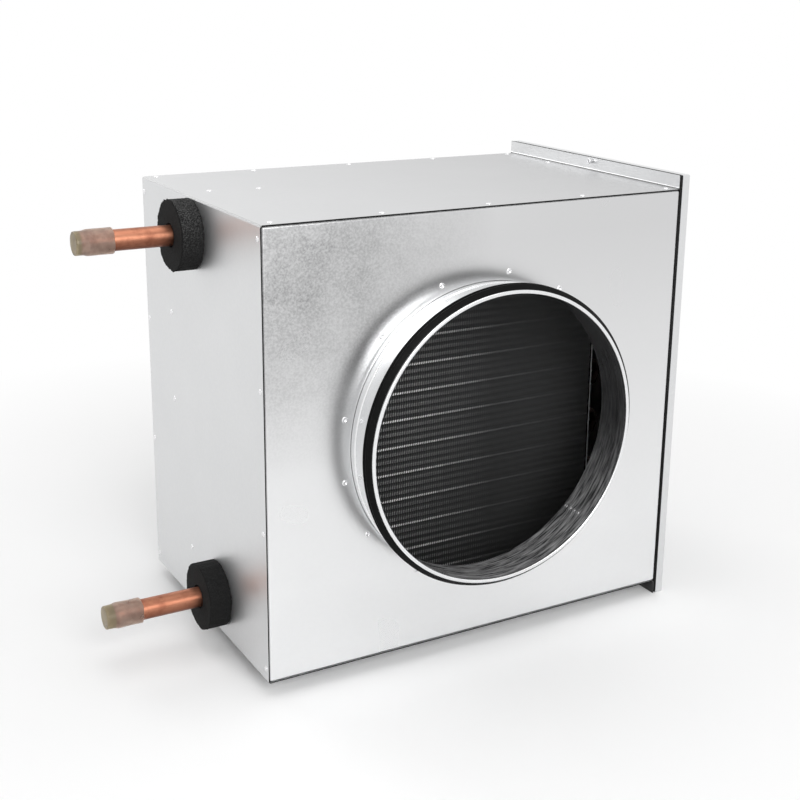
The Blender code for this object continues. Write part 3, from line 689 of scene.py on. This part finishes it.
def gasket_shape(side):
    """A foot under the rim's fold and two lips that lean back."""
    foot = SPIGOT_RADIUS - HEM_WIDTH + SPIGOT_SHEET + 0.1
    base = SPIGOT_RADIUS - SEAT_GAP
    tip = SPIGOT_RADIUS + LIP_REACH
    front = SPIGOT_LENGTH - HEM_DEPTH - 0.2
    outline = [(foot, SPIGOT_LENGTH - GASKET_LENGTH), (foot, front), (base, front)]
    for root in (front, front - LIP_SPACING):
        outline += [(base + 0.2, root), (tip, root - LIP_LEAN), (tip, root - LIP_LEAN - LIP_THICKNESS),
                    (base, root - 2.2 * LIP_THICKNESS)]
    outline.append((base, SPIGOT_LENGTH - GASKET_LENGTH))
    points, faces = turned(rounded(outline, 0.45, 3, closed=True), SPIGOT_STEPS)
    turn = np.arctan2(points[:, 1], points[:, 0])
    wobble = 1.0 + 0.0006 * np.sin(5 * turn + 0.7) + 0.0004 * np.sin(11 * turn)
    points[:, :2] *= wobble[:, None]
    return facing(points, side, face_origin(side)), faces


def lap_shape(side):
    """The lap of the spigot's seam inside the tube, with its row of spot welds."""
    inside = SPIGOT_RADIUS - SPIGOT_SHEET
    middle = math.radians(LAP_ANGLE if side == "front" else 180.0 - LAP_ANGLE)
    half_turn = LAP_WIDTH / 2 / inside
    turn = np.linspace(middle - half_turn, middle + half_turn, 7)
    along = np.array([-1.0, 0.0, 14.0, 28.0, 29.0])
    step = np.array([0.05, LAP_RISE, LAP_RISE, LAP_RISE, 0.05])
    edge = np.array([0.05, 0.7, LAP_RISE, LAP_RISE, LAP_RISE, 0.7, 0.05])
    radius = inside - np.minimum(step[:, None], edge[None, :])
    points = np.stack([radius * np.cos(turn)[None, :], radius * np.sin(turn)[None, :],
                       np.broadcast_to(along[:, None], radius.shape)], axis=2).reshape(-1, 3)
    shapes = [(points, grid(len(along), len(turn)))]
    out = Matrix.Rotation(middle, 3, "Z") @ Matrix.Rotation(-math.pi / 2, 3, "Y")
    seat = inside - 0.8
    for spot in LAP_WELDS:
        spot_points, spot_faces = turned(WELD_PROFILE, 14, closed=False)
        centre = Vector((seat * math.cos(middle), seat * math.sin(middle), spot))
        shapes.append((spot_points @ np.array(out).T + np.array(centre), spot_faces))
    points, faces = merged(shapes)
    return facing(points, side, face_origin(side)), faces


def panel_mesh(name, side):
    """A pan with rounded folds and a round hole, from a folded sheet and a cutter."""
    face, back = (-HALF_DEPTH, PANEL_HIGH.y) if side == "front" else (HALF_DEPTH, -PANEL_HIGH.y)
    low = Vector((PANEL_LOW.x, min(face, back), PANEL_LOW.z))
    high = Vector((PANEL_HIGH.x, max(face, back), PANEL_HIGH.z))
    shape = bmesh.new()
    bmesh.ops.create_cube(shape, size=1.0)
    bmesh.ops.scale(shape, vec=high - low, verts=shape.verts)
    bmesh.ops.translate(shape, vec=(low + high) / 2, verts=shape.verts)
    shape.normal_update()
    inward = 1.0 if side == "front" else -1.0
    bmesh.ops.delete(shape, geom=[f for f in shape.faces if f.normal.y * inward > 0.9], context="FACES")
    bmesh.ops.scale(shape, vec=(0.001, 0.001, 0.001), verts=shape.verts)
    bmesh.ops.translate(shape, vec=MIDDLE, verts=shape.verts)
    mesh = bpy.data.meshes.new(name)
    shape.to_mesh(mesh)
    shape.free()
    item = bpy.data.objects.new(name, mesh)
    fold = item.modifiers.new("folds", "BEVEL")
    fold.width = PANEL_FOLD / 1000
    fold.segments = FOLD_SEGMENTS
    fold.limit_method = "ANGLE"
    sheet = item.modifiers.new("sheet", "SOLIDIFY")
    sheet.thickness = SHEET / 1000
    sheet.offset = -1.0
    sheet.use_even_offset = True
    radius = SPIGOT_RADIUS + SPIGOT_SHEET / 2
    plug = [(0.0, -10.0), (radius, -10.0), (radius, 10.0), (0.0, 10.0)]
    points, faces = turned(plug, SPIGOT_STEPS, closed=False)
    hole = bpy.data.meshes.new(name + "_hole")
    hole.from_pydata(facing(points, side, face_origin(side)) / 1000 + np.array(MIDDLE), [], faces.tolist())
    tidy_mesh(hole, 35.0)
    cutter = bpy.data.objects.new(name + "_hole", hole)
    cut = item.modifiers.new("hole", "BOOLEAN")
    cut.operation = "DIFFERENCE"
    cut.object = cutter
    for thing in (item, cutter):
        bpy.context.scene.collection.objects.link(thing)
    bpy.context.view_layer.update()
    graph = bpy.context.evaluated_depsgraph_get()
    result = bpy.data.meshes.new_from_object(item.evaluated_get(graph))
    for thing in (item, cutter):
        bpy.data.objects.remove(thing, do_unlink=True)
    result.name = name
    result.shade_smooth()
    result.set_sharp_from_angle(angle=math.radians(25))
    return result


def build_panels(finish):
    for side in ("front", "rear"):
        name = side + "_panel_sheet"
        mesh = panel_mesh(name, side)
        mesh.materials.clear()
        mesh.materials.append(finish)
        link_piece(bpy.data.objects.new(name, mesh), "heater", (side + "_panel",))


def build_spigots(steel, rubber_finish, bright):
    for side in ("front", "rear"):
        make_piece(side + "_spigot_tube", spigot_shape(side), steel,
                   stands_for=(side + "_spigot",))
        make_piece(side + "_lip_gasket", gasket_shape(side), rubber_finish,
                   stands_for=(side + "_gasket",))
        make_piece(side + "_spigot_lap", lap_shape(side), steel)
        make_piece(side + "_clinch_points", clinch_shape(side), bright)


def clinch_shape(side):
    """The pressed rings that hold the spigot's collar to the panel."""
    shapes = []
    for angle in CLINCH_ANGLES:
        turn = math.radians(angle)
        across = CLINCH_RADIUS * math.cos(turn) * (1 if side == "front" else -1)
        up = CLINCH_RADIUS * math.sin(turn)
        points, faces = turned(rounded(CLINCH_PROFILE, 0.4, 2), 20, closed=False)
        shapes.append((facing(points, side, face_origin(side, across, up)), faces))
    return merged(shapes)


def rivet_places():
    """Rivet heads on the wrap as (face, origin); the hidden sides repeat the ones in view."""
    top = [("top", (x, RIVET_ROW_FRONT, HALF_HEIGHT)) for x in (-235.0, -117.0, 6.0, 124.0, 238.0)]
    top += [("top", (x, RIVET_ROW_BACK, HALF_HEIGHT)) for x in (-236.0, -118.0, 6.0, 124.0, 236.0)]
    top += [("top", (x, y, HALF_HEIGHT)) for x, y in ((-218.6, 41.0), (-165.0, 34.0), (240.0, 73.0))]
    left = [("left", (WALL_X, 161.0, z)) for z in (218.5, 72.1, -74.0, -222.0)]
    left += [("left", (WALL_X, -159.0, z)) for z in (221.0, 73.0, -74.0, -221.0)]
    left += [("left", (WALL_X, y, z)) for y, z in ((45.8, -168.6), (86.0, 96.0), (86.0, -4.0))]
    bottom = [("bottom", (x, -y, -z)) for _, (x, y, z) in top]
    return top + left + bottom


def build_rivets(bright):
    shapes = []
    for face, origin in rivet_places():
        points, faces = turned(rounded(RIVET_PROFILE, 0.35, 2), 18, closed=False)
        shapes.append((facing(points, face, origin), faces))
    make_piece("wrap_rivets", merged(shapes), bright)


def fin_lips(fin_places, levels, y):
    """Small flats that the pressing leaves on the fins' edges, broad in line with the tubes."""
    corners = []
    for count, level in enumerate(levels):
        half_width, half_height = BROAD_LIP if count % 4 == 0 else NARROW_LIP
        for x in fin_places:
            x -= FIN_RIPPLE
            corners += [(x - half_width - FIN_LEAN, y, level - half_height),
                        (x + half_width - FIN_LEAN, y, level - half_height),
                        (x + half_width + FIN_LEAN, y, level + half_height),
                        (x - half_width + FIN_LEAN, y, level + half_height)]
    return np.array(corners), np.arange(len(corners)).reshape(-1, 4)


def build_fins(finish):
    """Pressed fins whose front and back edges ripple four times for each tube."""
    step = FIN_WAVE / 4
    fine = np.arange(-RIPPLE_REACH // step, RIPPLE_REACH // step + 1) * step
    above = np.linspace(fine[-1], FIN_HIGH.z, 6)[1:]
    heights = np.concatenate([-above[::-1], fine, above])
    turn = (heights - FIRST_TUBE_Z) / FIN_WAVE
    zigzag = 4 * np.abs(turn - np.floor(turn + 0.5)) - 1
    zigzag[np.abs(heights) > fine[-1]] = 0.0
    front, back = FIN_LOW.y, FIN_HIGH.y
    depths = np.array([front, front + FIN_EDGE, back - FIN_EDGE, back])
    swing = FIN_RIPPLE * np.array([1.0, 0.5, 0.5, 1.0])
    count = int((FIN_HIGH.x - FIN_LOW.x - FIN_PITCH) // FIN_PITCH)
    first = (FIN_HIGH.x + FIN_LOW.x - count * FIN_PITCH) / 2
    faces = grid(len(heights), len(depths))
    places = [first + i * FIN_PITCH + FIN_SCATTER * math.sin(2.1 * i) for i in range(count + 1)]
    levels = np.arange(FIRST_TUBE_Z, FIN_HIGH.z - 2.0, FIN_WAVE)
    shapes = [fin_lips(places, levels, y) for y in (front, back)]
    for place in places:
        x = place + swing[None, :] * zigzag[:, None]
        points = np.stack([x, np.broadcast_to(depths[None, :], x.shape),
                           np.broadcast_to(heights[:, None], x.shape)], axis=2)
        shapes.append((points.reshape(-1, 3), faces))
    make_piece("fin_sheets", merged(shapes), finish, stands_for=("fin_pack",), angle=20.0)


def header_shape(node, pipe_y, pipe_z, row):
    """A domed header, its feeders and the pipe that leaves through the wall."""
    low, high = node_box(node)
    row_y = FIN_LOW.y + (row + 0.5) * ROW_PITCH
    x = HEADER_X
    dome = [(0.0, low.z), (HEADER_RADIUS * 0.7, low.z + 1.2), (HEADER_RADIUS, low.z + 5.0),
            (HEADER_RADIUS, high.z - 5.0), (HEADER_RADIUS * 0.7, high.z - 1.2), (0.0, high.z)]
    points, faces = turned(rounded(dome, 3.0), 32, closed=False)
    shapes = [(points + np.array((x, pipe_y, 0.0)), faces)]
    pipe = [(PIPE_RADIUS, low.x + 0.4), (PIPE_RADIUS, x), (PIPE_RADIUS - PIPE_WALL, x),
            (PIPE_RADIUS - PIPE_WALL, low.x + 0.4), (PIPE_RADIUS - PIPE_WALL + 0.3, low.x),
            (PIPE_RADIUS - 0.3, low.x)]
    points, faces = turned(pipe, 56)
    along = np.array(((0, 1, 0), (0, 0, 1), (1, 0, 0)), float)
    shapes.append((points @ along + np.array((0.0, pipe_y, pipe_z)), faces))
    start = LEFT_PLATE_X
    lowest = FIRST_TUBE_Z if row == 0 else FIRST_TUBE_Z + TUBE_PITCH
    for i in range(HEADER_FEEDERS):
        z = lowest + i * 2 * TUBE_PITCH
        path = rounded([(start, row_y, z), (start - 12.0, row_y, z), (x + 6.0, pipe_y, z)], 6.0, 5)
        shapes.append(swept(path, TUBE_RADIUS))
    return merged(shapes)


def build_headers(finish):
    for node, y, z, row in (("supply_header", UPPER_PIPE_Y, UPPER_PIPE_Z, 2),
                            ("return_header", LOWER_PIPE_Y, LOWER_PIPE_Z, 0)):
        make_piece(node + "_pipe", header_shape(node, y, z, row), finish, stands_for=(node,))


def remeshed(name, points, faces, voxel):
    """The same closed shape with an even skin of small faces."""
    rough = bpy.data.meshes.new(name)
    rough.from_pydata(points / 1000, [], faces.tolist())
    item = bpy.data.objects.new(name, rough)
    bpy.context.scene.collection.objects.link(item)
    skin = item.modifiers.new("skin", "REMESH")
    skin.mode = "VOXEL"
    skin.voxel_size = voxel / 1000
    bpy.context.view_layer.update()
    mesh = bpy.data.meshes.new_from_object(item.evaluated_get(bpy.context.evaluated_depsgraph_get()))
    bpy.data.objects.remove(item, do_unlink=True)
    return mesh


def build_foam(end, y, z, radius, thickness, tear, lit_grain_tone):
    """A collar cut by hand from foam: uneven outline, ragged edge and a pitted skin."""
    name = "foam_collar_" + end
    finish = foam("black_foam_" + end, lit_grain_tone, z, WALL_X - SEAT_GAP - thickness)
    bore = PIPE_RADIUS + FOAM_CLEARANCE
    ring = turned([(bore, 0.0), (radius, 0.0), (radius, thickness), (bore, thickness)], 120)
    mesh = remeshed(name, *ring, FOAM_VOXEL)
    points = np.array([vertex.co for vertex in mesh.vertices]) * 1000
    normals = np.array([vertex.normal for vertex in mesh.vertices])
    apart = Vector((0.0, 0.0, radius))
    for i, (point, normal) in enumerate(zip(points, normals)):
        place = Vector(point)
        reach = math.hypot(place.x, place.y)
        edge = min(1.0, max(0.0, (reach - radius + 3.0) / 3.0))
        flat = Vector((place.x, place.y, 0.0)) + apart
        cut = 1.6 * noise.noise(flat * 0.055) + 1.1 * noise.noise(flat * 0.16)
        corner = min(1.0, max(0.0, (place.z - thickness + 4.0) / 4.0))
        ragged = tear * (0.4 + 1.5 * corner) * noise.noise(place * 0.42 + apart)
        out = edge * (cut + ragged - 0.5)
        pit = 0.30 * noise.noise(place * 0.9) + 0.22 * noise.noise(place * 2.3)
        points[i] += normal * pit
        points[i, 0] += out * place.x / max(reach, 1.0)
        points[i, 1] += out * place.y / max(reach, 1.0)
        points[i, 2] = min(thickness, max(0.0, points[i, 2]))
    placed = facing(points, "left", (WALL_X - SEAT_GAP, y, z)) / 1000 + np.array(MIDDLE)
    mesh.vertices.foreach_set("co", placed.ravel())
    mesh.materials.clear()
    mesh.materials.append(finish)
    mesh.shade_smooth()
    mesh.set_sharp_from_angle(angle=math.radians(55))
    link_piece(bpy.data.objects.new(name, mesh), "heater", ("foam_ring_" + end,))


def cap_shape(node, y, z, seed):
    """A soft cap: a sleeve with an uneven mouth, stepped in to a rounded closed end."""
    low, high = node_box(node)
    mouth_radius = (high.z - low.z) / 2
    bore = mouth_radius - CAP_WALL
    tip_radius = mouth_radius - 1.2
    length = high.x - low.x
    outline = [(0.0, length - 0.5), (tip_radius * 0.55, length - 0.2), (tip_radius, length),
               (tip_radius, length - 9.0), (mouth_radius, length - 13.0), (mouth_radius - 0.1, 14.0),
               (mouth_radius, 0.0), (bore, 0.0), (bore, length - 2.5), (0.0, length - 2.5)]
    points, faces = turned(rounded(outline, 1.4, 4), 64, closed=False)
    turn = np.arctan2(points[:, 1], points[:, 0])
    near_mouth = np.clip(1.0 - points[:, 2] / 6.0, 0.0, 1.0)
    points[:, 2] += near_mouth * (0.35 * np.sin(3 * turn + seed) + 0.2 * np.sin(7 * turn)) + 0.5 * near_mouth
    outside = (np.hypot(points[:, 0], points[:, 1]) > bore + 0.6)
    swell = 1.0 - outside * 0.012 * (1.0 + np.sin(2 * turn + seed)) * np.sin(points[:, 2] * 0.16)
    points[:, :2] *= swell[:, None]
    return facing(points, "left", (high.x, y, z)), faces


def build_caps():
    for end, y, z, seed in (("upper", UPPER_PIPE_Y, UPPER_PIPE_Z, 1.0),
                            ("lower", LOWER_PIPE_Y, LOWER_PIPE_Z, 2.4)):
        node = "transport_cap_" + end
        finish = cloudy_plastic("cloudy_plastic_" + end, in_frame_x(PIPE_END_X))
        make_piece("soft_cap_" + end, cap_shape(node, y, z, seed), finish, "cap_" + end,
                   (node,))


def build_fasteners(bright):
    """Threaded inserts on the flanges and the pan heads outside the cover."""
    for end in ("top", "bottom"):
        low, high = node_box("cover_nut_" + end)
        centre = (low + high) / 2
        radius = (high.z - low.z) / 2
        bore = radius - 1.1
        length = high.x - low.x
        barrel = [(bore, 0.0), (radius - 0.5, 0.0), (radius - 0.5, length * 0.55), (radius, length * 0.65),
                  (radius, length), (bore, length)]
        points, faces = turned(rounded(barrel, 0.35, 3, closed=True), 32)
        points = facing(points, "left", (high.x, centre.y, centre.z))
        make_piece("flange_insert_" + end, (points, faces), bright,
                   stands_for=("cover_nut_" + end,))
        low, high = node_box("cover_screw_" + end)
        centre = (low + high) / 2
        head_radius = (high.z - low.z) / 2
        shank = head_radius - 1.6
        top = high.x - COVER_FACE_X
        tip = low.x - COVER_FACE_X
        pan = [(0.0, top - 1.4), (0.8, top - 1.3), (1.2, top - 0.1), (head_radius - 1.2, top),
               (head_radius, top - 1.5), (head_radius, SEAT_GAP), (shank, SEAT_GAP), (shank, tip), (0.0, tip)]
        points, faces = turned(rounded(pan, 0.4, 3), 32, closed=False)
        points = facing(points, "right", (COVER_FACE_X, centre.y, centre.z))
        make_piece("pan_screw_" + end, (points, faces), bright,
                   stands_for=("cover_screw_" + end,))


def finish_node(node, finish):
    """Gives a CAD node that stays in view its material."""
    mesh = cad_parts[node].data
    mesh.materials.clear()
    mesh.materials.append(finish)


# ---- Places that several pieces share ----

LEFT_PLATE_X = node_box("coil_end_plate_left")[0].x
UPPER_CAP_LOW, UPPER_CAP_HIGH = node_box("transport_cap_upper")
LOWER_CAP_LOW, LOWER_CAP_HIGH = node_box("transport_cap_lower")
UPPER_PIPE_Y = (UPPER_CAP_LOW.y + UPPER_CAP_HIGH.y) / 2
UPPER_PIPE_Z = (UPPER_CAP_LOW.z + UPPER_CAP_HIGH.z) / 2
LOWER_PIPE_Y = (LOWER_CAP_LOW.y + LOWER_CAP_HIGH.y) / 2
LOWER_PIPE_Z = (LOWER_CAP_LOW.z + LOWER_CAP_HIGH.z) / 2
HEADER_X = WALL_X + SHEET + 10.0 + HEADER_RADIUS
PIPE_END_X = node_box("return_header")[0].x
FIRST_TUBE_Z = FIN_LOW.z + TUBE_PITCH / 4


def build_object():
    sheet, _, _ = galvanised("galvanised_sheet", 0.74, 0.08, 0.30)
    frame_steel, _, _ = galvanised("coil_frame_steel", 0.55, 0.15, 0.34)
    bright = zinc_plate()
    copper = copper_sheet()
    black = rubber()
    build_panels(front_sheet())
    build_spigots(spigot_sheet(), black, bright)
    build_rivets(bright)
    build_fins(fin_sheet())
    build_headers(copper)
    # The upper collar's grain is painted lighter than the lower one's, as painted light on the upper collar
    build_foam("upper", UPPER_PIPE_Y, UPPER_PIPE_Z, radius=37.4, thickness=23.6, tear=1.0, lit_grain_tone=0.13)
    build_foam("lower", LOWER_PIPE_Y, LOWER_PIPE_Z, radius=36.4, thickness=24.0, tear=0.2, lit_grain_tone=0.025)
    build_caps()
    build_fasteners(bright)
    finish_node("casing_wrap", wrap_sheet())
    finish_node("inspection_cover", sheet)
    for node in ("coil_channel_top", "coil_channel_bottom", "coil_rail_top", "coil_rail_bottom"):
        finish_node(node, frame_steel)
    # The seal has the same painted shade on its lower half, and grain painted lighter above
    finish_node("cover_seal", foam("black_seal", 0.04))
    finish_node("coil_end_plate_left", coil_metal("coil_left_metal", FIN_LOW.x - SEAT_GAP - PLATE_SHEET))
    finish_node("coil_end_plate_right", coil_metal("coil_right_metal", FIN_HIGH.x + SEAT_GAP))


# ---- Stage ----


def build_camera():
    data = bpy.data.cameras.new("camera")
    data.lens = CAMERA_LENS
    data.sensor_width = 36.0
    data.shift_x, data.shift_y = CAMERA_SHIFT
    camera = bpy.data.objects.new("camera", data)
    camera.location = CAMERA_PLACE
    camera.rotation_euler = [math.radians(angle) for angle in CAMERA_TURN]
    bpy.context.scene.collection.objects.link(camera)
    bpy.context.scene.camera = camera


def build_floor():
    """A plain floor that fades to white away from the heater where the camera or gloss sees it."""
    finish, tree, shader = new_finish("studio_floor", (0.97, 0.97, 0.97), 0.9)
    paint(tree, shader, "Base Color", between(tree, grain(tree, 3.0), (0.96, 0.96, 0.96), (0.98, 0.98, 0.98)))
    glow = add(tree, "Emission")
    away = add(tree, "VectorMath", operation="LENGTH")
    tree.links.new(place_on(tree), away.inputs[0])
    rays = add(tree, "LightPath")
    seen = math_node(tree, "MAXIMUM", rays.outputs["Is Camera Ray"], rays.outputs["Is Glossy Ray"])
    share = times(tree, seen, spread(tree, away.outputs["Value"], 0.0, 1.0, 0.45, 1.1))
    blend = add(tree, "MixShader")
    tree.links.new(share, blend.inputs["Fac"])
    tree.links.new(shader.outputs["BSDF"], blend.inputs[1])
    tree.links.new(glow.outputs["Emission"], blend.inputs[2])
    tree.links.new(blend.outputs["Shader"], tree.nodes["Material Output"].inputs["Surface"])
    mesh = bpy.data.meshes.new("studio_floor")
    reach = 12.0
    mesh.from_pydata([(-reach, -reach, 0), (reach, -reach, 0), (reach, reach, 0), (-reach, reach, 0)], [],
                     [(0, 1, 2, 3)])
    mesh.materials.append(finish)
    floor = bpy.data.objects.new("studio_floor", mesh)
    bpy.context.scene.collection.objects.link(floor)


def build_world():
    """White where the camera, gloss or glass sees it, and a plain level for the light that it gives."""
    world = bpy.data.worlds.new("studio")
    bpy.context.scene.world = world
    world.use_nodes = True
    tree = world.node_tree
    back = tree.nodes["Background"]
    back.inputs["Color"].default_value = (1.0, 1.0, 1.0, 1.0)
    rays = add(tree, "LightPath")
    seen = math_node(tree, "MAXIMUM", rays.outputs["Is Camera Ray"], math_node(
        tree, "MAXIMUM", rays.outputs["Is Glossy Ray"], rays.outputs["Is Transmission Ray"]))
    tree.links.new(spread(tree, seen, 0.55, 1.0), back.inputs["Strength"])


def add_lamp(name, place, target, size, power, gloss=1.0):
    data = bpy.data.lights.new(name, "AREA")
    data.shape = "SQUARE"
    data.size = size
    data.energy = power
    data.specular_factor = gloss
    lamp = bpy.data.objects.new(name, data)
    lamp.location = place
    lamp.rotation_euler = (Vector(target) - Vector(place)).to_track_quat("-Z", "Y").to_euler()
    lamp.visible_camera = False
    bpy.context.scene.collection.objects.link(lamp)


def build_lights():
    add_lamp("overhead_softbox", (0.0, -0.1, 2.3), (0.05, 0.0, 0.3), 1.8, 12.0, 0.3)
    add_lamp("front_softbox", (-0.3, -2.2, 1.2), (0.05, 0.0, 0.25), 1.2, 27.0, 0.3)
    add_lamp("back_softbox", (-0.7, 2.1, 1.4), (0.0, 0.0, 0.3), 1.1, 10.0, 0.8)


build_camera()
build_object()
build_floor()
build_world()
build_lights()
bpy.context.scene.view_settings.view_transform = "Standard"
